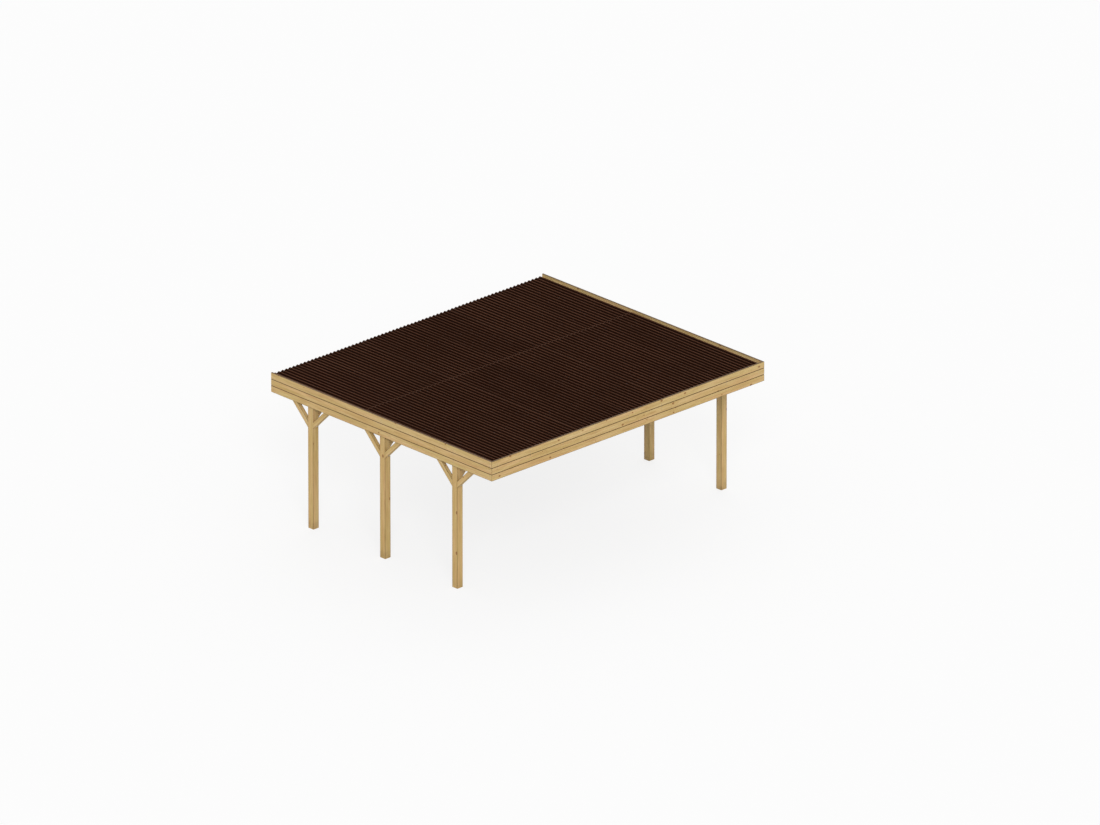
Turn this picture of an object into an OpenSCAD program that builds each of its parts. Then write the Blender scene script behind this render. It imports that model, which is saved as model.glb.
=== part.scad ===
// Open timber double carport: six braced posts carry two side beams, seven rafters and a flat roof of
// corrugated sheets, with a fascia of stacked boards on three sides and an open drip edge at the rear.
// X runs across the width, the front faces -Y, Z is up. The origin is on the ground, at the plan's centre.

/* [Overall] */
// Width over the two side fascias, along the rafters
roof_w = 6000; // [5000:50:6600]
// Depth from the front fascia's face to the rear drip edge
roof_d = 5100; // [4300:50:5700]
// Height of the fascia's top edge above the ground
roof_h = 2440; // [2240:10:2800]

/* [Posts] */
// Side of a square post
post_s = 120; // [110:1:140]
// Radius of a post's planed corners
post_r = 5; // [2:1:8]

/* [Beams and rafters] */
// Thickness of a side beam, and depth of its seat in a post
beam_t = 60; // [45:1:70]
// Height of a side beam
beam_h = 120; // [100:1:160]
// Thickness of a rafter
rafter_t = 45; // [38:1:60]
// Height of a rafter
rafter_h = 125; // [115:1:160]
// Depth of the rafters' tops below the fascia's top edge
rafter_drop = 50; // [40:1:60]
// Radius of the planed corners of beams, rafters and braces
timber_r = 3; // [1:0.5:4]

/* [Braces] */
// Thickness of a knee brace
brace_t = 60; // [45:1:70]
// Width of a knee brace, across its slope
brace_w = 80; // [60:1:100]
// Reach of a knee brace along the post and along what it carries
brace_leg = 410; // [300:5:500]

/* [Fascia] */
// Thickness of a fascia board
board_t = 28; // [22:1:34]
// Height that one fascia board covers
board_h = 112; // [100:1:120]
// Size of the bevel along a board's edges
board_vee = 5; // [2:0.5:6]
// Thickness of a board's tongue
tongue_t = 8; // [6:0.5:9]
// Height of a board's tongue
tongue_h = 9; // [6:0.5:12]
// Play between a tongue and its groove, on each side
tongue_play = 0.3; // [0.1:0.1:0.6]

/* [Roof sheets] */
// Thickness of a sheet, measured upright
sheet_t = 2.6; // [2:0.1:3]
// Height of a sheet over its waves
wave_h = 22; // [16:1:23]
// Overlap of the front row over the rear row
end_lap = 840; // [300:10:900]
// Gap between the sheets and the fascia
rim_gap = 15; // [8:1:25]
// Play between sheets that lie on each other
lap_play = 0.2; // [0.1:0.1:0.4]

/* [Hidden] */
sides = ["left", "right"];
places = ["front", "middle", "rear"];
rows = ["lower", "middle", "upper"];
rafter_n = 7;
sheet_cols = 6;
sheet_waves = 13;
lap_waves = 1;
wave_steps = 12;
cut = 1;

timber_colour = [0.78, 0.66, 0.45];
board_colour = [0.81, 0.70, 0.50];
sheet_colour = [0.19, 0.11, 0.08];

// Levels, from the fascia's top edge down
fascia_z = roof_h - len(rows) * board_h;
rafter_top = roof_h - rafter_drop;
rafter_z = rafter_top - rafter_h;
beam_z = rafter_z - beam_h;

// Places in plan
inner_x = roof_w / 2 - board_t;
inner_y = roof_d / 2 - board_t;
post_x = inner_x - post_s / 2;
rafter_pitch = (2 * inner_y - rafter_t) / (rafter_n - 1);
post_pitch = 2 * rafter_pitch;

// Roof sheets: all waves together fill the width between the side fascias
wave_pitch = 2 * (inner_x - rim_gap) / (sheet_cols * sheet_waves - (sheet_cols - 1) * lap_waves);
cover_w = (sheet_waves - lap_waves) * wave_pitch;
wave_rise = (wave_h - sheet_t) / 2;
rear_edge_y = roof_d / 2;
front_edge_y = -inner_y + rim_gap;
sheet_l = (rear_edge_y - front_edge_y + end_lap) / 2;
lap_edge_y = rear_edge_y - sheet_l;
lap_rise = sheet_t + lap_play;
front_tilt = atan(2 * lap_rise / (lap_edge_y - front_edge_y));

// Rectangle about the origin with round corners
module planed_section(w, h, r) {
    square([w - 2 * r, h], center = true);
    square([w, h - 2 * r], center = true);
    for (x = [-1, 1], y = [-1, 1])
        translate([x * (w / 2 - r), y * (h / 2 - r)])
            circle(r, $fn = 32);
}

// Puts what is made for the left side on either side
module on_side(side) {
    if (side == "right")
        mirror([1, 0, 0]) children();
    else
        children();
}

function post_y(place) = (search([place], places)[0] - 1) * post_pitch;

// A post stands under every second rafter, with a seat for the beam cut into its outer half
module post(side, place) {
    color(timber_colour)
        on_side(side)
            translate([-post_x, post_y(place), 0])
                difference() {
                    linear_extrude(rafter_z) planed_section(post_s, post_s, post_r);
                    translate([-post_s / 2 - cut, -post_s / 2 - cut, beam_z])
                        cube([beam_t + cut, post_s + 2 * cut, beam_h + cut]);
                }
}

// A brace from the origin's corner: it leans on a post at x = 0 and carries what lies above z = 0
module brace() {
    over = 2 * brace_w;
    intersection() {
        translate([0, 0, -brace_leg])
            rotate([0, 45, 0])
                translate([-brace_w / 2, 0, -over])
                    linear_extrude(brace_leg * sqrt(2) + 2 * over)
                        planed_section(brace_w, brace_t, timber_r);
        translate([0, -brace_t, -2 * brace_leg])
            cube([2 * brace_leg, 2 * brace_t, 2 * brace_leg]);
    }
}

// Three braces on each post: two under the beam, in line with it, and one under the rafter
module braces(side, place) {
    color(timber_colour)
        on_side(side)
            translate([-post_x, post_y(place), 0]) {
                for (turn = [-90, 90])
                    translate([(brace_t - post_s) / 2, sign(turn) * post_s / 2, beam_z])
                        rotate([0, 0, turn])
                            brace();
                translate([post_s / 2, 0, rafter_z]) brace();
            }
}

// A beam lies in the seats of its three posts, from the front fascia to the rear rafter's back
module beam(side) {
    color(timber_colour)
        on_side(side)
            translate([-inner_x + beam_t / 2, inner_y, beam_z + beam_h / 2])
                rotate([90, 0, 0])
                    linear_extrude(2 * inner_y)
                        planed_section(beam_t, beam_h, timber_r);
}

// Rafters are counted from the rear, and reach from one side fascia to the other
module rafter(i) {
    color(timber_colour)
        translate([-inner_x, inner_y - rafter_t / 2 - (i - 1) * rafter_pitch, rafter_z + rafter_h / 2])
            rotate([90, 0, 90])
                linear_extrude(2 * inner_x)
                    planed_section(rafter_t, rafter_h, timber_r);
}

// Section of a board: x is the depth from its outer face, y its height
module board_section(row) {
    mid = board_t / 2;
    tongue = tongue_t / 2;
    groove = tongue + tongue_play;
    groove_h = tongue_h + 2 * tongue_play;
    is_grooved = row != rows[0];
    is_tongued = row != rows[len(rows) - 1];
    difference() {
        union() {
            polygon([
                [board_vee, 0], [board_t - board_vee, 0],
                [board_t, board_vee], [board_t, board_h - board_vee],
                [board_t - board_vee, board_h], [board_vee, board_h],
                [0, board_h - board_vee], [0, board_vee]
            ]);
            if (is_tongued)
                translate([mid - tongue, board_h - cut])
                    square([2 * tongue, tongue_h + cut]);
        }
        if (is_grooved)
            translate([mid - groove, -cut])
                square([2 * groove, groove_h + cut]);
    }
}

function board_z(row) = fascia_z + search([row], rows)[0] * board_h;

// A side board is square at the rear and mitred at the front
module side_board(side, row) {
    color(board_colour)
        on_side(side)
            intersection() {
                translate([-roof_w / 2, roof_d / 2, board_z(row)])
                    rotate([90, 0, 0])
                        linear_extrude(roof_d)
                            board_section(row);
                linear_extrude(2 * roof_h)
                    polygon([
                        [-roof_w / 2, -roof_d / 2], [-inner_x, -inner_y],
                        [-inner_x, roof_d / 2], [-roof_w / 2, roof_d / 2]
                    ]);
            }
}

// A front board is mitred at both ends
module front_board(row) {
    color(board_colour)
        intersection() {
            translate([-roof_w / 2, -roof_d / 2, board_z(row)])
                rotate([90, 0, 90])
                    linear_extrude(roof_w)
                        board_section(row);
            linear_extrude(2 * roof_h)
                polygon([
                    [-roof_w / 2, -roof_d / 2], [roof_w / 2, -roof_d / 2],
                    [inner_x, -inner_y], [-inner_x, -inner_y]
                ]);
        }
}

// Wave of a sheet's underside, which starts and ends in a trough
function wave(step) = wave_rise * (1 - cos(360 * step / wave_steps));

module sheet_section() {
    steps = sheet_waves * wave_steps;
    under = [for (k = [0:steps]) [k * wave_pitch / wave_steps, wave(k)]];
    over = [for (k = [steps:-1:0]) under[k] + [0, sheet_t]];
    polygon(concat(under, over));
}

// Columns are counted from the left: the odd ones lie over the even ones
module sheet(col, rear_y) {
    level = col % 2 == 1 ? lap_rise : 0;
    translate([-inner_x + rim_gap + (col - 1) * cover_w, rear_y, level])
        rotate([90, 0, 0])
            linear_extrude(sheet_l)
                sheet_section();
}

// The rear row lies level on the rafters
module rear_sheet(col) {
    color(sheet_colour)
        translate([0, 0, rafter_top])
            sheet(col, rear_edge_y);
}

// The front row tips over the rear row's edge, down to the front rafter
module front_sheet(col) {
    color(sheet_colour)
        translate([0, lap_edge_y, rafter_top + 2 * lap_rise])
            rotate([front_tilt, 0, 0])
                sheet(col, end_lap);
}

for (side = sides, place = places) {
    post(side, place);
    braces(side, place);
}
for (side = sides)
    beam(side);
for (i = [1:rafter_n])
    rafter(i);
for (row = rows) {
    for (side = sides)
        side_board(side, row);
    front_board(row);
}
for (col = [1:sheet_cols]) {
    rear_sheet(col);
    front_sheet(col);
}
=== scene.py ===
import math
import random
from types import SimpleNamespace

import bmesh
import bpy
from mathutils import Matrix, Vector
from mathutils.bvhtree import BVHTree


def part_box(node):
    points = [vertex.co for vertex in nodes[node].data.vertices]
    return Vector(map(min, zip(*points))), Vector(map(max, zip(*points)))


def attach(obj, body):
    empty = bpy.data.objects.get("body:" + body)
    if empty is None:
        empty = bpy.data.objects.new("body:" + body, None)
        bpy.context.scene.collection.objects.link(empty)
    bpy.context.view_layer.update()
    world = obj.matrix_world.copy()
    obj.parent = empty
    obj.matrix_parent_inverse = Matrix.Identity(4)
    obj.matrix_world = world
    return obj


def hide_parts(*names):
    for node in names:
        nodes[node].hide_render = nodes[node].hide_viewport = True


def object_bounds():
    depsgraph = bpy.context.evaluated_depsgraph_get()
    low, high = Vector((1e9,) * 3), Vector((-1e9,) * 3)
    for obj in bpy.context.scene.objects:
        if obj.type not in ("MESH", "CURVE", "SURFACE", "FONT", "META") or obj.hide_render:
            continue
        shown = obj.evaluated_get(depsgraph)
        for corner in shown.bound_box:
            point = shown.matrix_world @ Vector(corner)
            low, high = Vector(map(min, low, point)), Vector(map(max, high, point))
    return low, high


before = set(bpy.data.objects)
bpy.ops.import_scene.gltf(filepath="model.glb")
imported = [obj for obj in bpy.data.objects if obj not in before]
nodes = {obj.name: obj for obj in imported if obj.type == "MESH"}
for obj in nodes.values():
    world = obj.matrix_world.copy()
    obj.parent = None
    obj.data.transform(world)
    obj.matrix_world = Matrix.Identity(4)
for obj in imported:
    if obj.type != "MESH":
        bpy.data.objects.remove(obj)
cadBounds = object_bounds()
chance = random.Random(11)
print("frame loaded:", len(nodes), "nodes")

# camera
cameraView = {
    "azimuth": -43.7,               # degrees, seen from the front left
    "elevation": 22.7,
    "lens": 900.0,                  # mm, long, because the picture has no vanishing points
    "sensor": 36.0,                 # mm
    "frameWidth": 17.535,           # m across the picture, at the carport
    "roofCentre": (517.8, 366.9),   # pixel of the middle of the fascia's top edge
    "pictureSize": (1100, 825),
    "clip": (0.5, 2.0),             # shares of the camera's distance
}


def addCamera():
    turn = math.radians(cameraView["azimuth"])
    rise = math.radians(cameraView["elevation"])
    back = Vector((math.sin(turn) * math.cos(rise), -math.cos(turn) * math.cos(rise), math.sin(rise)))
    right = Vector((math.cos(turn), math.sin(turn), 0))
    up = back.cross(right)
    width, height = cameraView["pictureSize"]
    pixelX, pixelY = cameraView["roofCentre"]
    metres = cameraView["frameWidth"] / width   # in one pixel
    low, high = cadBounds
    roofCentre = Vector(((low.x + high.x) / 2, (low.y + high.y) / 2, high.z))
    target = roofCentre + right * (width / 2 - pixelX) * metres - up * (height / 2 - pixelY) * metres
    data = bpy.data.cameras.new("camera")
    data.sensor_width = cameraView["sensor"]
    data.lens = cameraView["lens"]
    away = cameraView["frameWidth"] * data.lens / data.sensor_width
    data.clip_start = away * cameraView["clip"][0]
    data.clip_end = away * cameraView["clip"][1]
    camera = bpy.data.objects.new("camera", data)
    camera.location = target + back * away
    camera.rotation_mode = "QUATERNION"
    camera.rotation_quaternion = (-back).to_track_quat("-Z", "Y")
    bpy.context.scene.collection.objects.link(camera)
    bpy.context.scene.camera = camera


addCamera()
print("camera placed")


# shader maths: a wire is one socket of a node tree, and sums of wires add Math nodes
class Wire:
    def __init__(self, tree, socket=None):
        self.tree = tree
        self.socket = socket

    def node(self, kind, settings, sockets, out=0):
        made = self.tree.nodes.new(kind)
        for name, value in settings.items():
            setattr(made, name, value)
        for name, value in sockets.items():
            if isinstance(value, Wire):
                self.tree.links.new(value.socket, made.inputs[name])
            else:
                made.inputs[name].default_value = value
        return Wire(self.tree, made.outputs[out])

    def sibling(self, out):
        return Wire(self.tree, self.socket.node.outputs[out])   # another socket of the same node

    def maths(self, operation, first, second=0.0):
        return self.node("ShaderNodeMath", {"operation": operation}, {0: first, 1: second})

    def __add__(self, other):
        return self.maths("ADD", self, other)

    def __radd__(self, other):
        return self.maths("ADD", other, self)

    def __sub__(self, other):
        return self.maths("SUBTRACT", self, other)

    def __rsub__(self, other):
        return self.maths("SUBTRACT", other, self)

    def __mul__(self, other):
        return self.maths("MULTIPLY", self, other)

    def __rmul__(self, other):
        return self.maths("MULTIPLY", other, self)

    def __truediv__(self, other):
        return self.maths("DIVIDE", self, other)

    def __rtruediv__(self, other):
        return self.maths("DIVIDE", other, self)

    def __pow__(self, other):
        return self.maths("POWER", self, other)

    def __rpow__(self, other):
        return self.maths("POWER", other, self)

    def __abs__(self):
        return self.maths("ABSOLUTE", self)

    def __lt__(self, other):
        return self.maths("LESS_THAN", self, other)

    def __gt__(self, other):
        return self.maths("GREATER_THAN", self, other)

    def sign(self):
        return self.maths("SIGN", self)

    def nearest(self):
        return self.maths("ROUND", self)

    def floor(self):
        return self.maths("FLOOR", self)

    def part(self):
        return self.maths("FRACT", self)

    def wave(self):
        return self.maths("COSINE", self)

    def root(self):
        return self.maths("SQRT", self)

    def least(self, other):
        return self.maths("MINIMUM", self, other)

    def most(self, other):
        return self.maths("MAXIMUM", self, other)

    def ease(self, start, end):
        settings = {"interpolation_type": "SMOOTHSTEP"}
        return self.node("ShaderNodeMapRange", settings, {0: self, 1: start, 2: end, 3: 0.0, 4: 1.0})

    def choose(self, whenOff, whenOn):
        return self.node("ShaderNodeMix", {"data_type": "FLOAT"}, {0: self, 2: whenOff, 3: whenOn})

    def tint(self, whenOff, whenOn):
        settings = {"data_type": "RGBA", "blend_type": "MIX", "clamp_factor": True}
        return self.node("ShaderNodeMix", settings, {0: self, 6: whenOff, 7: whenOn}, 2)

    def split(self):
        made = self.node("ShaderNodeSeparateXYZ", {}, {0: self})
        return made.sibling(0), made.sibling(1), made.sibling(2)

    def join(self, first, second, third):
        return self.node("ShaderNodeCombineXYZ", {}, {0: first, 1: second, 2: third})

    def place(self):
        return self.node("ShaderNodeTexCoord", {}, {}, "Object").split()

    def attribute(self, name):
        settings = {"attribute_type": "GEOMETRY", "attribute_name": name}
        return self.node("ShaderNodeAttribute", settings, {}, "Fac")

    def noise(self, parts, waves, detail):
        scaled = [part * scale for part, scale in zip(parts, waves)]
        sockets = {"Vector": self.join(*scaled), "Scale": 1.0, "Detail": detail}
        return self.node("ShaderNodeTexNoise", {"noise_dimensions": "3D"}, sockets)


# a screen colour, 0 to 255, as linear light
def colour(red, green, blue):
    parts = []
    for value in (red, green, blue):
        value = value / 255
        parts.append(value / 12.92 if value <= 0.04045 else ((value + 0.055) / 1.055) ** 2.4)
    return (*parts, 1.0)


def newMaterial(name):
    material = bpy.data.materials.new(name)
    material.use_nodes = True
    return material, Wire(material.node_tree), material.node_tree.nodes["Principled BSDF"]


def plug(wire, shader, name):
    wire.tree.links.new(wire.socket, shader.inputs[name])


def plugSurface(shader, base, rough, height, relief, shine):
    plug(base, shader, "Base Color")
    plug(rough, shader, "Roughness")
    strength, distance = relief
    bumpSockets = {"Strength": strength, "Distance": distance, "Height": height}
    plug(base.node("ShaderNodeBump", {}, bumpSockets), shader, "Normal")
    shader.inputs["Specular IOR Level"].default_value = shine


def nodeCentre(name):
    low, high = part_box(name)
    return (low + high) / 2


def nodeHalf(name):
    low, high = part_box(name)
    return (high - low) / 2


# timber: one recipe, on coordinates that run along, across and through each stick
timberTones = {
    "earlywood": colour(204, 178, 121),
    "latewood": colour(166, 129, 74),
    "pale": colour(211, 188, 138),
    "warm": colour(195, 159, 98),
    "honey": colour(191, 168, 101),
    "blush": colour(210, 168, 119),
    "knot": colour(156, 108, 58),
    "knotRim": colour(114, 74, 36),
    # grime on arrises and at the feet, and painted shade along the fascia's top face
    "grimeAndShade": colour(104, 80, 50),
    # painted shade, with some dirt, in the V-grooves between boards and at the mitres
    "groove": colour(74, 46, 16),
    "endGrain": colour(158, 120, 74),
}
timberNoise = {
    # waves in a metre along and across the grain, detail, what shifts the pattern and how far
    "streak": (0.9, 38, 3.0, "piece", 3),
    "patch": (0.7, 5, 2.0, "luckC", 40),
    "mottle": (2.4, 30, 3.0, "luckB", 20),
    "blush": (1.1, 18, 3.0, "luckA", 60),
    "thread": (2.6, 170, 3.0, "luckA", 9),
    "fibre": (22, 620, 2.0, "piece", 0),
    "ripple": (1.3, 16, 2.0, "piece", 0),
    "wobble": (60, 60, 2.0, "piece", 0),
}
slowLayers = [
    # noise, where the layer starts and is full, its share, its share by chance, its tone
    ("patch", 0.50, 0.75, 1.00, 0.0, "pale"),
    ("patch", 0.50, 0.25, 0.25, 0.5, "warm"),
    ("blush", 0.45, 0.70, 0.60, 0.0, "blush"),
    ("blush", 0.55, 0.30, 0.60, 0.0, "honey"),
    ("mottle", 0.45, 0.75, 0.42, 0.0, "latewood"),
    ("mottle", 0.55, 0.25, 0.50, 0.0, "pale"),
]
crispLayers = [
    ("thread", 0.52, 0.72, 0.40, 0.0, "latewood"),
    ("thread", 0.46, 0.28, 0.35, 0.0, "pale"),
]
knotLayers = [
    # part of the knot, its share, its tone
    ("halo", 0.30, "warm"),
    ("core", 0.90, "knot"),
    ("rings", 0.50, "knotRim"),
    ("rim", 0.75, "knotRim"),
]
timberFinish = {
    "streakShare": 0.7,
    "fibreShare": 1.3,
    "fibreLift": 0.05,
    "rough": 0.66,
    "lateRough": 0.06,
    "fibreRough": 0.20,
    "knotRough": 0.04,
    "fibreHeight": 0.35,
    "lateHeight": 0.45,
    "rimDepth": 0.60,
    "knotHeight": 0.30,
    "relief": (0.5, 0.0006),      # strength, depth in m
    "shine": 0.35,
}


def layStick(start, look, grain):
    stick = SimpleNamespace(start=start, place=start.place())
    stick.along, stick.across, stick.through, stick.piece = grain(*stick.place)
    luckSockets = {"W": stick.piece + look["seed"]}
    luck = start.node("ShaderNodeTexWhiteNoise", {"noise_dimensions": "1D"}, luckSockets, "Color")
    stick.luckA, stick.luckB, stick.luckC = luck.split()
    halfAcross, halfThrough = look["half"]
    stick.toAcross = halfAcross - abs(stick.across)      # distances from the faces
    stick.toThrough = halfThrough - abs(stick.through)
    stick.noise = {name: grainNoise(stick, name) for name in timberNoise}
    return stick


def grainNoise(stick, name):
    alongWaves, acrossWaves, detail, mover, shift = timberNoise[name]
    along = stick.along
    if shift:
        along = along + getattr(stick, mover) * (shift / alongWaves)
    waves = (alongWaves, acrossWaves, acrossWaves)
    return stick.start.noise((along, stick.across, stick.through), waves, detail)


knotShape = {
    "randomness": 0.85,
    "cellShift": 9,               # by chance along the stick
    "faceShift": 5.37,            # so that each face and each stick has knots of its own
    "pieceShift": 3.71,
    "squeeze": 0.7,               # along the grain, so that knots are longer that way
    "least": 0.0004,              # m, so that a cell without a knot has a radius too
    "wobble": 0.35,
    "core": (1.05, 0.85),         # starts and is full, in shares of the knot's radius
    "rimOutside": (1.45, 1.0),
    "rimInside": (0.5, 0.95),
    "halo": (4.5, 0.8),
    "rings": 4.5,
    "ringPower": 2,
}


# knots, one or none in each cell of a face
def findKnots(stick, look):
    start = stick.start
    onThrough = stick.toThrough < stick.toAcross
    lateral = onThrough.choose(stick.through, stick.across)
    face = onThrough.choose(stick.across.sign() * 2, stick.through.sign())
    faceShift = face * knotShape["faceShift"] + stick.piece * knotShape["pieceShift"]
    cellAlong = stick.along / look["knotStep"] + stick.luckC * knotShape["cellShift"]
    cellLateral = lateral / look["knotWidth"] + faceShift
    cell = start.join(cellAlong, cellLateral, 0.0)
    cellSockets = {"Vector": cell, "Scale": 1.0, "Randomness": knotShape["randomness"]}
    centre = start.node("ShaderNodeTexVoronoi", {"voronoi_dimensions": "2D"}, cellSockets, "Position")
    cellLuck = centre.sibling("Color").split()[0]
    centreAlong, centreLateral, _ = centre.split()
    offAlong = (cellAlong - centreAlong) * look["knotStep"] * knotShape["squeeze"]
    offLateral = (cellLateral - centreLateral) * look["knotWidth"]
    radius = cellLuck.ease(look["knotless"], 1.0) * look["knotSize"] + knotShape["least"]
    wobble = (stick.noise["wobble"] - 0.5) * knotShape["wobble"]
    reach = (offAlong * offAlong + offLateral * offLateral).root() / radius + wobble
    core = reach.ease(*knotShape["core"])
    return SimpleNamespace(
        core=core,
        rim=reach.ease(*knotShape["rimOutside"]) * reach.ease(*knotShape["rimInside"]),
        rings=(reach * knotShape["rings"]).part() ** knotShape["ringPower"] * core,
        halo=reach.ease(*knotShape["halo"]),
    )


ringShape = {
    "drift": 0.45,                # waves of the pith's path in a metre
    "driftDetail": 2.0,
    "pathA": (31, 7.3, 17),       # shifts by chance, by stick and by chance again
    "pathB": (53, 5.9, 23),
    "pithSpread": 0.03,
    "ripple": 2.2,                # rings
    "knotBend": 2.5,              # rings that a knot pushes aside
    "power": 2.6,
}


def pithPath(stick, luckAlong, luckAside, shifts):
    start = stick.start
    along = stick.along * ringShape["drift"] + luckAlong * shifts[0]
    waves = (1.0, shifts[1], shifts[2])
    return start.noise((along, stick.piece, luckAside), waves, ringShape["driftDetail"]) - 0.5


# growth rings round a pith that wanders along the stick: 1 is the dark end of a ring
def growRings(stick, look, halo):
    wanderA = pithPath(stick, stick.luckA, stick.luckB, ringShape["pathA"])
    wanderB = pithPath(stick, stick.luckB, stick.luckC, ringShape["pathB"])
    pithAcross = (stick.luckA - 0.5) * look["pithAcross"] + wanderA * look["wander"]
    pithSpread = (stick.luckB - 0.5) * ringShape["pithSpread"]
    pithThrough = look["pithThrough"] + pithSpread + wanderB * look["wander"]
    offA = stick.across - pithAcross
    offB = stick.through - pithThrough
    ripple = (stick.noise["ripple"] - 0.5) * ringShape["ripple"]
    bend = halo * halo * ringShape["knotBend"]
    rings = (offA * offA + offB * offB).root() / look["ring"] + ripple + bend
    return rings.part() ** ringShape["power"]


def addLayers(base, stick, layers):
    for name, begin, full, share, shareByChance, tone in layers:
        mask = stick.noise[name].ease(begin, full) * share
        if shareByChance:
            mask = stick.luckC * shareByChance + mask
        base = mask.tint(base, timberTones[tone])
    return base


# rings and fibres go over the slow changes of tone, so that they stay crisp
def timberColour(stick, look, knots, late):
    streak = (stick.noise["streak"] - 0.5) * timberFinish["streakShare"]
    base = streak.tint(timberTones["earlywood"], timberTones["latewood"])
    base = addLayers(base, stick, slowLayers)
    base = (late * look["ringTone"]).tint(base, timberTones["latewood"])
    base = addLayers(base, stick, crispLayers)
    fibre = (stick.noise["fibre"] - 0.5) * timberFinish["fibreShare"] + timberFinish["fibreLift"]
    base = fibre.tint(base, timberTones["latewood"])
    for part, share, tone in knotLayers:
        base = (getattr(knots, part) * share).tint(base, timberTones[tone])
    return base


# wear and dirt, and painted shade in the board grooves and along the fascia's top face
timberWearAndShade = {
    "rub": 9.0,                       # rubbed patches in a metre
    "rubDetail": 3.0,
    "arris": (0.010, 0.003),          # m from an edge, where grime starts and is full
    "arrisRub": (0.3, 0.7),
    "arrisShare": (0.45, 0.25),       # everywhere, and more where it is rubbed
    # the groove entries paint shade, with some dirt, into the V-grooves and mitres
    "grooveFull": 0.4,                # share of the groove's width
    "mitre": (0.005, 0.001),          # m from the corner
    "grooveShare": 0.88,
    "topEdgeShadeAndDirt": (-0.006, -0.002),      # m above the fascia's top edge: painted shade on the top face, with dirt where rubbed
    "topShare": (0.45, 0.5),
    "end": (-0.0015, -0.0005),        # m past the sawn end
    "endShare": (0.4, 0.5),           # everywhere, and more in the rings
    "splashRub": (0.2, 0.8),
    "splashShare": 0.45,
}


# wear and dirt, and painted shade in the board grooves and along the fascia's top face
def addWearAndShade(base, stick, look, late):
    x, y, z = stick.place
    rubWaves = (timberWearAndShade["rub"],) * 3
    rub = stick.start.noise(stick.place, rubWaves, timberWearAndShade["rubDetail"])
    arris = (stick.toAcross + stick.toThrough).ease(*timberWearAndShade["arris"])
    share, moreShare = timberWearAndShade["arrisShare"]
    arrisShare = share + rub.ease(*timberWearAndShade["arrisRub"]) * moreShare
    base = (arris * arrisShare).tint(base, timberTones["grimeAndShade"])
    if look["groove"]:
        # painted shade, with some dirt, in the V-grooves between boards and at the mitres
        groove = stick.toAcross.ease(look["groove"], look["groove"] * timberWearAndShade["grooveFull"])
        mitre = look["fromMitre"](x, y).ease(*timberWearAndShade["mitre"])
        base = (groove.most(mitre) * timberWearAndShade["grooveShare"]).tint(base, timberTones["groove"])
        # painted shade along the fascia's top face, with dirt where rubbed
        share, moreShare = timberWearAndShade["topShare"]
        topEdgeShadeAndDirt = (z - cadBounds[1].z).ease(*timberWearAndShade["topEdgeShadeAndDirt"]) * (share + rub * moreShare)
        base = topEdgeShadeAndDirt.tint(base, timberTones["grimeAndShade"])
    if look["end"]:
        share, moreShare = timberWearAndShade["endShare"]
        endGrain = (stick.along - look["end"]).ease(*timberWearAndShade["end"])
        base = (endGrain * (share + late * moreShare)).tint(base, timberTones["endGrain"])
    if look["splash"]:
        splash = z.ease(look["splash"], 0.0) * rub.ease(*timberWearAndShade["splashRub"])
        base = (splash * timberWearAndShade["splashShare"]).tint(base, timberTones["grimeAndShade"])
    return base


def timberMaterial(name, look, grain):
    material, start, shader = newMaterial(name)
    stick = layStick(start, look, grain)
    knots = findKnots(stick, look)
    late = growRings(stick, look, knots.halo)
    base = addWearAndShade(timberColour(stick, look, knots, late), stick, look, late)
    fibre = stick.noise["fibre"]
    rough = timberFinish["rough"] - late * timberFinish["lateRough"]
    rough = rough + (fibre - 0.5) * timberFinish["fibreRough"] + knots.core * timberFinish["knotRough"]
    height = fibre * timberFinish["fibreHeight"] + late * timberFinish["lateHeight"]
    height = height - knots.rim * timberFinish["rimDepth"] + knots.core * timberFinish["knotHeight"]
    plugSurface(shader, base, rough, height, timberFinish["relief"], timberFinish["shine"])
    return material


def dress(names, material):
    for name in names:
        for place in nodes[name].material_slots:
            place.material = material


postNames = [name for name in nodes if name.endswith("_post")]
braceNames = [name for name in nodes if name.endswith("_braces")]
beamNames = [name for name in nodes if name.endswith("_beam")]
rafterNames = [name for name in nodes if name.startswith("rafter_")]
sideBoardNames = [name for name in nodes if name.endswith("_board") and not name.startswith("front")]
frontBoardNames = [name for name in nodes if name.endswith("_board") and name.startswith("front")]
sheetNames = [name for name in nodes if "_sheet_" in name]

postPlan = {
    "x": nodeCentre("right_rear_post").x,
    "pitch": nodeCentre("right_rear_post").y,
    "half": nodeHalf("right_rear_post").x,
}
rafterPlan = {
    "pitch": nodeCentre("rafter_3").y,
    "z": nodeCentre("rafter_1").z,
    "low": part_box("rafter_1")[0].z,
    "half": nodeHalf("rafter_1"),
}
beamPlan = {
    "x": nodeCentre("right_beam").x,
    "z": nodeCentre("right_beam").z,
    "low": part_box("right_beam")[0].z,
    "rear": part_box("right_beam")[1].y,
    "half": nodeHalf("right_beam"),
}
boardPlan = {
    "rows": 3,
    "low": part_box("front_fascia_lower_board")[0].z,
    "height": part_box("front_fascia_middle_board")[0].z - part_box("front_fascia_lower_board")[0].z,
    "sideX": nodeCentre("right_fascia_upper_board").x,
    "frontY": nodeCentre("front_fascia_upper_board").y,
    "thickness": nodeHalf("front_fascia_upper_board").y * 2,
}
bracePlan = {
    "leg": beamPlan["low"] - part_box("left_middle_braces")[0].z,
    "width": 0.080,
    "thickness": 0.060,
    "play": 0.0005,                 # how far behind the post's face a brace may still count as inner
    "lean": math.sqrt(0.5),         # sine and cosine of 45 degrees
}

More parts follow.
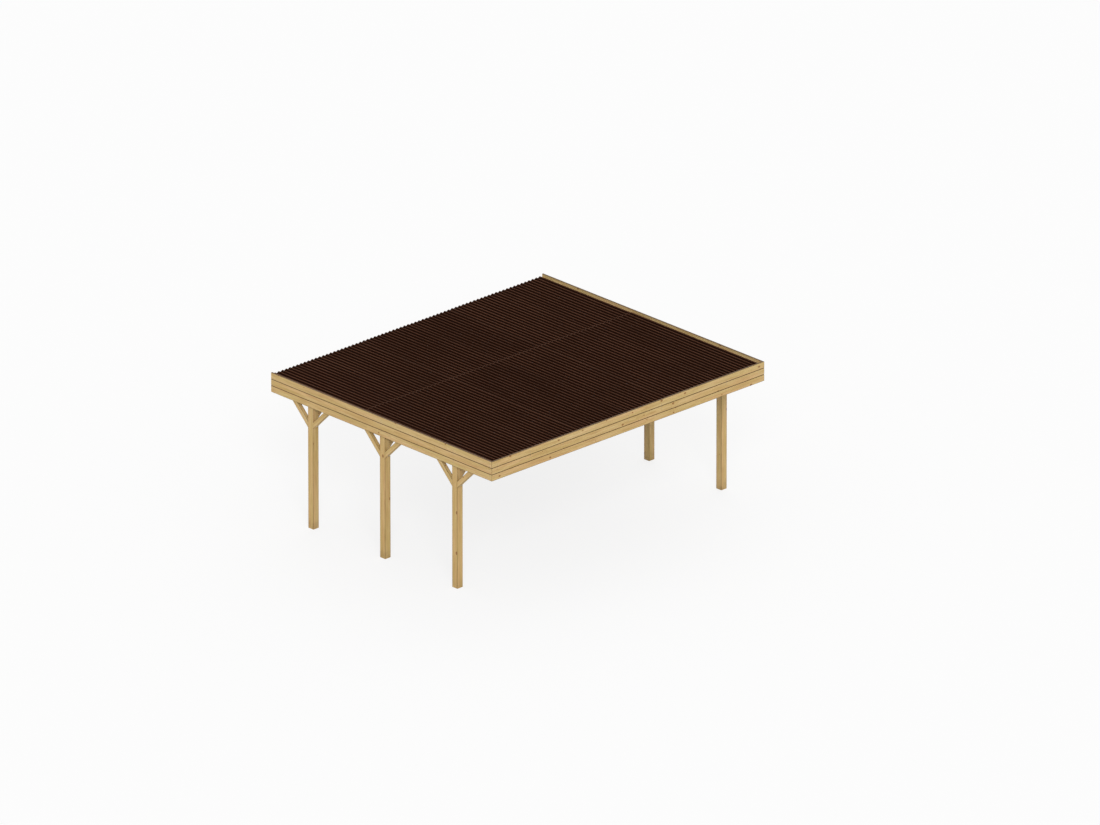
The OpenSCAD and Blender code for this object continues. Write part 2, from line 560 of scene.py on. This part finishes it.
# looks, in metres: ring is a growth ring's width, wander how far the pith strays, knotStep and knotWidth
# the cell that has one knot or none, and knotless the share of cells that have none
plainLook = {"ringTone": 0.50, "groove": 0.0, "end": 0.0, "splash": 0.0}
postLook = {
    **plainLook,
    "half": (postPlan["half"], postPlan["half"]), "seed": 3.0, "splash": 0.22,
    "ring": 0.0043, "pithAcross": 0.05, "pithThrough": 0.012, "wander": 0.05,
    "knotStep": 0.36, "knotWidth": 0.12, "knotSize": 0.016, "knotless": 0.45,
}


# each grain gives the way along, across and through a stick, and a number of the stick's own
def postGrain(x, y, z):
    side = x.sign()
    row = (y / postPlan["pitch"]).nearest()
    return z, x - side * postPlan["x"], y - row * postPlan["pitch"], side + row * 3


dress(postNames, timberMaterial("postTimber", postLook, postGrain))

beamLook = {
    **plainLook,
    "half": (beamPlan["half"].z, beamPlan["half"].x), "seed": 11.0, "end": beamPlan["rear"],
    "ring": 0.0040, "pithAcross": 0.08, "pithThrough": 0.035, "wander": 0.05,
    "knotStep": 0.42, "knotWidth": 0.12, "knotSize": 0.016, "knotless": 0.4,
}


def beamGrain(x, y, z):
    side = x.sign()
    return y, z - beamPlan["z"], x - side * beamPlan["x"], side * 2


dress(beamNames, timberMaterial("beamTimber", beamLook, beamGrain))

rafterLook = {
    **plainLook,
    "half": (rafterPlan["half"].z, rafterPlan["half"].y), "seed": 23.0,
    "ring": 0.0038, "pithAcross": 0.12, "pithThrough": 0.040, "wander": 0.05,
    "knotStep": 0.40, "knotWidth": 0.14, "knotSize": 0.016, "knotless": 0.4,
}


def rafterGrain(x, y, z):
    row = (y / rafterPlan["pitch"]).nearest()
    return x, z - rafterPlan["z"], y - row * rafterPlan["pitch"], row


dress(rafterNames, timberMaterial("rafterTimber", rafterLook, rafterGrain))

braceLook = {
    **plainLook,
    "half": (bracePlan["width"] / 2, bracePlan["thickness"] / 2), "seed": 37.0,
    "ring": 0.0036, "pithAcross": 0.06, "pithThrough": 0.030, "wander": 0.03,
    "knotStep": 0.30, "knotWidth": 0.08, "knotSize": 0.011, "knotless": 0.5,
}


def braceGrain(x, y, z):
    side = x.sign()
    row = (y / postPlan["pitch"]).nearest()
    offPost = y - row * postPlan["pitch"]
    inward = postPlan["x"] - postPlan["half"] - abs(x)
    isInner = inward > -bracePlan["play"]
    reach = isInner.choose(abs(offPost) - postPlan["half"], inward)
    rise = z - isInner.choose(beamPlan["low"], rafterPlan["low"]) + bracePlan["leg"]
    along = (reach + rise) * bracePlan["lean"]
    across = (reach - rise) * bracePlan["lean"] + bracePlan["width"] / 2
    through = isInner.choose(abs(x) - beamPlan["x"], offPost)
    return along, across, through, side + row * 3 + isInner.choose(offPost.sign() * 10, 30.0)


dress(braceNames, timberMaterial("braceTimber", braceLook, braceGrain))

boardLook = {
    **plainLook,
    "half": (boardPlan["height"] / 2, boardPlan["thickness"] / 2), "seed": 51.0, "groove": 0.0080,
    "ring": 0.0042, "pithAcross": 0.05, "pithThrough": 0.060, "wander": 0.06,
    "knotStep": 0.55, "knotWidth": 0.112, "knotSize": 0.014, "knotless": 0.5,
}


def boardLevel(z):
    level = ((z - boardPlan["low"]) / boardPlan["height"]).floor()
    return level.least(boardPlan["rows"] - 1).most(0.0)


def boardAcross(z, level):
    return z - boardPlan["low"] - (level + 0.5) * boardPlan["height"]


def sideBoardGrain(x, y, z):
    side = x.sign()
    level = boardLevel(z)
    return y, boardAcross(z, level), x - side * boardPlan["sideX"], level + side * 4


def frontBoardGrain(x, y, z):
    level = boardLevel(z)
    return x, boardAcross(z, level), y - boardPlan["frontY"], level + 20


sideBoardLook = {**boardLook, "fromMitre": lambda x, y: y - cadBounds[0].y, "end": cadBounds[1].y}
frontBoardLook = {**boardLook, "fromMitre": lambda x, y: cadBounds[1].x - abs(x)}
dress(sideBoardNames, timberMaterial("sideBoardTimber", sideBoardLook, sideBoardGrain))
dress(frontBoardNames, timberMaterial("frontBoardTimber", frontBoardLook, frontBoardGrain))
print("timber dressed")


def addPiece(name, shape, material, sharpAngle):
    mesh = bpy.data.meshes.new(name)
    shape.to_mesh(mesh)
    shape.free()
    mesh.materials.append(material)
    for face in mesh.polygons:
        face.use_smooth = True
    mesh.set_sharp_from_angle(angle=math.radians(sharpAngle))
    piece = bpy.data.objects.new(name, mesh)
    bpy.context.scene.collection.objects.link(piece)
    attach(piece, "root")
    return piece


# roof sheets
sheetPlan = {
    "waves": 13,
    "height": 0.022,          # over the waves
    "thickness": 0.0026,      # measured upright
    "stepsPerWave": 16,
    "stepsAlong": 10,
    "rim": 0.012,             # width of the worn strip at the cut ends
    "edge": 0.0001,           # how near to the outline a corner is on the rim
    "sharpAngle": 50,         # degrees
}
sheetTones = {
    # trough and flank paint shade into the waves; crest is a painted highlight on them, and also the
    # colour of pale flecks
    "trough": colour(18, 5, 1),
    "flank": colour(30, 11, 4),
    "crest": colour(102, 68, 51),
    "dark": colour(26, 9, 3),
    "dust": colour(84, 60, 46),
    "rim": colour(112, 86, 72),
}
sheetNoise = {
    # waves in a metre along x, y and z, and detail
    "cloud": ((2.2, 0.9, 2), 3.0),
    "drag": ((55, 1.6, 55), 3.0),
    "fleck": ((420, 300, 420), 2.0),
    "felt": ((170, 60, 170), 3.0),
}
# dust, flecks and wear on the sheets, and painted shade and highlight on the waves
sheetWearAndShade = {
    "specks": 0.45,              # how far felt and flecks break up the colour of the waves
    "flank": (0.05, 0.6),        # painted shade in the troughs: starts and is full, from trough 0 to crest 1
    # painted highlight on the crests, where it starts and is full
    "crest": (0.6, 1.05),
    "crestShare": (0.45, 0.6),   # painted highlight and wear on the crests: everywhere, and more in drag marks
    "sheetShare": 0.3,
    "cloudShare": 0.8,
    "paleFleck": (0.60, 0.78),
    "paleShare": 0.30,
    "darkFleck": (0.42, 0.26),
    "darkShare": 0.45,
    "dustDepth": (0.25, 0.0),
    "dustCloud": (0.55, 0.75),
    "dustShare": 0.2,
    "rimShare": (0.35, 0.5),
    "rough": 0.78,
    "feltRough": 0.24,
    "crestRough": 0.06,
    "feltHeight": 0.7,
    "fleckHeight": 0.3,
    "relief": (0.6, 0.0009),     # strength, depth in m
    "shine": 0.012,
}


def wavePitch(name):
    low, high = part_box(name)
    return (high.x - low.x) / sheetPlan["waves"]


def sheetMaterial():
    material, start, shader = newMaterial("roofSheet")
    place = start.place()
    fromEdge = place[0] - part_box("rear_sheet_1")[0].x
    crest = 0.5 - (fromEdge * (math.tau / wavePitch("rear_sheet_1"))).wave() * 0.5
    cloud, drag, fleck, felt = [start.noise(place, *row) for row in sheetNoise.values()]
    specks = (felt - 0.5) * sheetWearAndShade["specks"] + (fleck - 0.5) * sheetWearAndShade["specks"]
    # painted shade in the troughs and on the flanks, from 0 in the trough to 1 on the crest
    paintedLightLevel = crest + specks
    base = paintedLightLevel.ease(*sheetWearAndShade["flank"]).tint(sheetTones["trough"], sheetTones["flank"])
    share, moreShare = sheetWearAndShade["crestShare"]
    # painted highlight on the crests, more where drag marks wear them
    base = (paintedLightLevel.ease(*sheetWearAndShade["crest"]) * (share + drag * moreShare)).tint(base, sheetTones["crest"])
    sheetTone = start.attribute("sheetTone") * sheetWearAndShade["sheetShare"]
    base = (sheetTone + (cloud - 0.5) * sheetWearAndShade["cloudShare"]).tint(base, sheetTones["dark"])
    base = (fleck.ease(*sheetWearAndShade["paleFleck"]) * sheetWearAndShade["paleShare"]).tint(base, sheetTones["crest"])
    base = (fleck.ease(*sheetWearAndShade["darkFleck"]) * sheetWearAndShade["darkShare"]).tint(base, sheetTones["dark"])
    dust = crest.ease(*sheetWearAndShade["dustDepth"]) * cloud.ease(*sheetWearAndShade["dustCloud"])
    base = (dust * sheetWearAndShade["dustShare"]).tint(base, sheetTones["dust"])
    share, moreShare = sheetWearAndShade["rimShare"]
    base = (start.attribute("sheetRim") * (share + drag * moreShare)).tint(base, sheetTones["rim"])
    rough = sheetWearAndShade["rough"] + (felt - 0.5) * sheetWearAndShade["feltRough"] - crest * sheetWearAndShade["crestRough"]
    height = felt * sheetWearAndShade["feltHeight"] + fleck * sheetWearAndShade["fleckHeight"]
    plugSurface(shader, base, rough, height, sheetWearAndShade["relief"], sheetWearAndShade["shine"])
    return material


def addSheet(name, material):
    low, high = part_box(name)
    middle = (low + high) / 2
    across = sheetPlan["waves"] * sheetPlan["stepsPerWave"]
    rows = sheetPlan["stepsAlong"]
    rise = (sheetPlan["height"] - sheetPlan["thickness"]) / 2
    slope = (high.z - low.z - sheetPlan["height"]) / (high.y - low.y)
    pitch = wavePitch(name)
    shape = bmesh.new()
    bmesh.ops.create_grid(shape, x_segments=across, y_segments=rows, size=0.5)
    bmesh.ops.scale(shape, vec=(high.x - low.x, high.y - low.y, 1), verts=shape.verts)
    bmesh.ops.translate(shape, vec=(middle.x, middle.y, low.z), verts=shape.verts)
    for vert in shape.verts:
        row = round((vert.co.y - low.y) / (high.y - low.y) * rows)
        if row == 1:
            vert.co.y = low.y + sheetPlan["rim"]
        elif row == rows - 1:
            vert.co.y = high.y - sheetPlan["rim"]
        phase = (vert.co.x - low.x) / pitch * math.tau
        vert.co.z += rise * (1 - math.cos(phase)) + slope * (vert.co.y - low.y)
    grown = bmesh.ops.extrude_face_region(shape, geom=shape.faces[:])
    lifted = [part for part in grown["geom"] if isinstance(part, bmesh.types.BMVert)]
    bmesh.ops.translate(shape, vec=(0, 0, sheetPlan["thickness"]), verts=lifted)
    bmesh.ops.recalc_face_normals(shape, faces=shape.faces)
    piece = addPiece("roof_" + name, shape, material, sheetPlan["sharpAngle"])
    corners = [vert.co for vert in piece.data.vertices]
    inset = [min(co.x - low.x, high.x - co.x, co.y - low.y, high.y - co.y) for co in corners]
    tone = piece.data.attributes.new("sheetTone", "FLOAT", "POINT")
    tone.data.foreach_set("value", [chance.uniform(0.0, 1.0)] * len(corners))
    rim = piece.data.attributes.new("sheetRim", "FLOAT", "POINT")
    rim.data.foreach_set("value", [float(value < sheetPlan["edge"]) for value in inset])
    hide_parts(name)
    return piece


roofSheet = sheetMaterial()
sheets = [addSheet(name, roofSheet) for name in sheetNames]
print("sheets laid:", len(sheets))

# fasteners
zincFinish = {
    "tones": (colour(176, 174, 166), colour(150, 147, 138), colour(118, 112, 100)),   # clean, dull, grit
    "metallic": 1.0,
    "rough": 0.42,
    "shine": 0.5,
}
capFinish = {
    "tones": (colour(66, 42, 32), colour(50, 30, 22), colour(84, 60, 48)),
    "metallic": 0.0,
    "rough": 0.62,
    "shine": 0.12,
}
# wear and grit on the fasteners, and painted shade in the screws' drive recess
fastenerWearAndShade = {
    "patch": (14, 3.0),          # waves in a metre, and detail
    "grit": (600, 2.0),
    "dull": (0.3, 0.7),
    "gritty": (0.55, 0.8),
    "gritShare": 0.3,
    "gritRough": 0.25,
    # painted shade in the driver's recess, which is flat
    "recessShade": colour(40, 37, 34),
    "relief": (0.4, 0.0003),
    "sharpAngle": 35,            # degrees
}


def fastenerNoise(start, place, name):
    waves, detail = fastenerWearAndShade[name]
    return start.noise(place, (waves, waves, waves), detail)


def fastenerMaterial(name, finish):
    material, start, shader = newMaterial(name)
    place = start.place()
    patch = fastenerNoise(start, place, "patch")
    grit = fastenerNoise(start, place, "grit")
    clean, dull, gritty = finish["tones"]
    base = patch.ease(*fastenerWearAndShade["dull"]).tint(clean, dull)
    base = (grit.ease(*fastenerWearAndShade["gritty"]) * fastenerWearAndShade["gritShare"]).tint(base, gritty)
    # painted shade in the driver's recess
    base = start.attribute("recessShade").tint(base, fastenerWearAndShade["recessShade"])
    rough = finish["rough"] + (grit - 0.5) * fastenerWearAndShade["gritRough"]
    plugSurface(shader, base, rough, grit, fastenerWearAndShade["relief"], finish["shine"])
    shader.inputs["Metallic"].default_value = finish["metallic"]
    return material


zincSteel = fastenerMaterial("zincSteel", zincFinish)
brownCap = fastenerMaterial("brownCap", capFinish)


# a disc is its wide and narrow radius, its depth and its number of sides
def addDisc(shape, foot, axis, disc):
    wide, narrow, depth, sides = disc
    turn = axis.to_track_quat("Z", "Y").to_matrix().to_4x4()
    place = Matrix.Translation(foot + axis * depth / 2) @ turn
    made = bmesh.ops.create_cone(
        shape, cap_ends=True, cap_tris=False, segments=sides, radius1=wide, radius2=narrow, depth=depth,
        matrix=place,
    )
    faces = {face for vert in made["verts"] for face in vert.link_faces}
    return max(faces, key=lambda face: face.calc_center_median().dot(axis))   # the outer cap


def addStack(shape, foot, axis, discs):
    for disc in discs:
        addDisc(shape, foot, axis, disc)
        foot = foot + axis * disc[2]


def addFasteners(name, shape, material):
    addPiece(name, shape, material, fastenerWearAndShade["sharpAngle"])


roofScrew = {
    "discs": (
        (0.0105, 0.0075, 0.0022, 10),   # washer
        (0.0068, 0.0045, 0.0050, 8),    # cap
    ),
    "sink": 0.0006,
    "firstCrest": 1,
    "everyCrest": 3,
    "everyCrestAtEnds": 2,
    "endRafters": ("rafter_1", "rafter_7"),
}


def roofTrees():
    grown = []
    for piece in sheets:
        shape = bmesh.new()
        shape.from_mesh(piece.data)
        grown.append(BVHTree.FromBMesh(shape))
        shape.free()
    return grown


def addRoofScrews():
    trees = roofTrees()
    up = Vector((0, 0, 1))
    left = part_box("rear_sheet_1")[0].x
    pitch = wavePitch("rear_sheet_1")
    crests = round((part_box("rear_sheet_6")[1].x - left) / pitch)
    shape = bmesh.new()
    count = 0
    for name in rafterNames:
        isEnd = name in roofScrew["endRafters"]
        step = roofScrew["everyCrestAtEnds"] if isEnd else roofScrew["everyCrest"]
        for crest in range(roofScrew["firstCrest"], crests, step):
            above = Vector((left + (crest + 0.5) * pitch, nodeCentre(name).y, cadBounds[1].z))
            hits = [tree.ray_cast(above, -up)[0] for tree in trees]
            top = max(hit.z for hit in hits if hit)
            addStack(shape, Vector((above.x, above.y, top - roofScrew["sink"])), up, roofScrew["discs"])
            count += 1
    addFasteners("roof_screws", shape, brownCap)
    return count


print("roof screws:", addRoofScrews())

boardScrew = {
    "head": (0.0050, 0.0046, 0.0010, 12),
    "rim": 0.0018,                      # round the driver's recess
    "lip": 0.0003,
    "star": 0.30,                       # how far the recess's flutes reach in
    "proud": 0.0001,
    "sideHeights": (0.062, 0.092, 0.137, 0.192, 0.243, 0.272),   # above the fascia's lower edge
    "frontHeights": (0.179, 0.207, 0.243, 0.272),                # into the front rafter
    "beamHeights": (0.062, 0.092),                               # into the beams' front ends
    "frontStep": 0.72,
    "frontColumns": 4,                  # on each side of the middle one
}


def addBoardScrew(shape, place, axis):
    recessShade = shape.verts.layers.float["recessShade"]
    cap = addDisc(shape, Vector(place), Vector(axis), boardScrew["head"])
    bmesh.ops.inset_region(shape, faces=[cap], thickness=boardScrew["rim"])
    bmesh.ops.inset_region(shape, faces=[cap], thickness=boardScrew["lip"])
    # the driver's recess is a flat star, and its darkness is painted shade
    middle = cap.calc_center_median()
    for index, vert in enumerate(cap.verts):
        vert[recessShade] = 1.0
        if index % 2:
            vert.co = vert.co.lerp(middle, boardScrew["star"])


def addBoardScrews():
    shape = bmesh.new()
    shape.verts.layers.float.new("recessShade")
    low, high = cadBounds
    sink = boardScrew["head"][2] - boardScrew["proud"]
    for height in boardScrew["sideHeights"]:
        z = boardPlan["low"] + height
        for name in rafterNames:
            y = nodeCentre(name).y
            addBoardScrew(shape, (low.x + sink, y, z), (-1, 0, 0))
            addBoardScrew(shape, (high.x - sink, y, z), (1, 0, 0))
    columns = range(-boardScrew["frontColumns"], boardScrew["frontColumns"] + 1)
    frontRows = [
        (boardScrew["frontHeights"], [column * boardScrew["frontStep"] for column in columns]),
        (boardScrew["beamHeights"], [-beamPlan["x"], beamPlan["x"]]),
    ]
    for heights, places in frontRows:
        for height in heights:
            for x in places:
                addBoardScrew(shape, (x, low.y + sink, boardPlan["low"] + height), (0, -1, 0))
    addFasteners("board_screws", shape, zincSteel)


addBoardScrews()
print("board screws set")

postBolt = {
    "discs": (
        (0.0150, 0.0146, 0.0025, 20),   # washer
        (0.0098, 0.0098, 0.0080, 6),    # nut
        (0.0050, 0.0042, 0.0050, 12),   # end of the bolt
    ),
    "places": ((-0.034, 0.036), (0.034, 0.084)),   # along the beam, above its underside
}


def inwardFrom(centre):
    return Vector((-1 if centre.x > 0 else 1, 0, 0))


def addPostBolts():
    shape = bmesh.new()
    for name in postNames:
        centre = nodeCentre(name)
        inward = inwardFrom(centre)
        face = centre + inward * postPlan["half"]
        for aside, height in postBolt["places"]:
            place = Vector((face.x, face.y + aside, beamPlan["low"] + height))
            addStack(shape, place, inward, postBolt["discs"])
    addFasteners("post_bolts", shape, zincSteel)


addPostBolts()
print("post bolts set")

braceScrew = {
    "discs": (
        (0.0105, 0.0095, 0.0020, 14),   # flange
        (0.0065, 0.0062, 0.0045, 6),    # head
    ),
    "fromEnd": 0.085,
}


# where each brace of a post meets what it carries, and the way it leans
def braceCorners(name):
    centre = nodeCentre(name)
    inward = inwardFrom(centre)
    innerX = centre.x + inward.x * postPlan["half"]
    corners = [(Vector((innerX, centre.y, rafterPlan["low"])), inward)]
    beamX = math.copysign(beamPlan["x"], centre.x)
    for way in (-1, 1):
        y = centre.y + way * postPlan["half"]
        corners.append((Vector((beamX, y, beamPlan["low"])), Vector((0, way, 0))))
    return corners


def addBraceScrews():
    shape = bmesh.new()
    up = Vector((0, 0, 1))
    length = bracePlan["leg"] / bracePlan["lean"]
    for name in postNames:
        for corner, reach in braceCorners(name):
            foot = corner - up * bracePlan["leg"]
            run = (reach + up) * bracePlan["lean"]
            axis = (reach - up) * bracePlan["lean"]
            for away in (braceScrew["fromEnd"], length - braceScrew["fromEnd"]):
                addStack(shape, foot + run * away, axis, braceScrew["discs"])
    addFasteners("brace_screws", shape, zincSteel)


addBraceScrews()
print("brace screws set")

# floor and light
studio = {
    "floorHalf": 150.0,
    "floorTone": (0.92, 0.92, 0.92, 1.0),
    "floorWhite": 0.80,       # share of plain white that the camera sees in the floor
    "white": (1.0, 1.0, 1.0, 1.0),
    "sky": 0.58,
    "key": 1.6,
    "keyFrom": (-0.62, -0.72, 0.58),
    "keyAngle": 24.0,         # degrees, so that shadows have soft edges
    "fill": 0.75,
    "fillFrom": (0.75, 0.55, 0.5),
    "fillAngle": 60.0,
}


def seenDirectly(start):
    camera = start.node("ShaderNodeLightPath", {}, {}, "Is Camera Ray")
    return camera.most(camera.sibling("Is Glossy Ray")).most(camera.sibling("Is Transmission Ray"))


def mixSurface(start, share, first, second, output):
    mixed = start.node("ShaderNodeMixShader", {}, {0: share, 1: first, 2: second})
    plug(mixed, start.tree.nodes[output], "Surface")


def addFloor():
    material, start, shader = newMaterial("paleFloor")
    shader.inputs["Base Color"].default_value = studio["floorTone"]
    shader.inputs["Roughness"].default_value = 1.0
    shader.inputs["Specular IOR Level"].default_value = 0.0
    white = start.node("ShaderNodeEmission", {}, {"Color": studio["white"], "Strength": 1.0})
    matt = Wire(start.tree, shader.outputs[0])
    mixSurface(start, seenDirectly(start) * studio["floorWhite"], matt, white, "Material Output")
    shape = bmesh.new()
    bmesh.ops.create_grid(shape, x_segments=1, y_segments=1, size=studio["floorHalf"])
    mesh = bpy.data.meshes.new("floor")
    shape.to_mesh(mesh)
    shape.free()
    mesh.materials.append(material)
    floor = bpy.data.objects.new("floor", mesh)
    bpy.context.scene.collection.objects.link(floor)


def addSun(name):
    data = bpy.data.lights.new(name, "SUN")
    data.energy = studio[name]
    data.angle = math.radians(studio[name + "Angle"])
    sun = bpy.data.objects.new(name, data)
    sun.rotation_mode = "QUATERNION"
    sun.rotation_quaternion = Vector(studio[name + "From"]).to_track_quat("Z", "Y")
    bpy.context.scene.collection.objects.link(sun)


def addSky():
    world = bpy.data.worlds.new("studio")
    bpy.context.scene.world = world
    world.use_nodes = True
    start = Wire(world.node_tree)
    background = world.node_tree.nodes["Background"]
    background.inputs["Color"].default_value = studio["white"]
    background.inputs["Strength"].default_value = studio["sky"]
    soft = Wire(world.node_tree, background.outputs[0])
    white = start.node("ShaderNodeBackground", {}, {"Color": studio["white"], "Strength": 1.0})
    mixSurface(start, seenDirectly(start), soft, white, "World Output")


addFloor()
addSun("key")
addSun("fill")
addSky()
bpy.context.scene.view_settings.view_transform = "Standard"
print("studio lit")
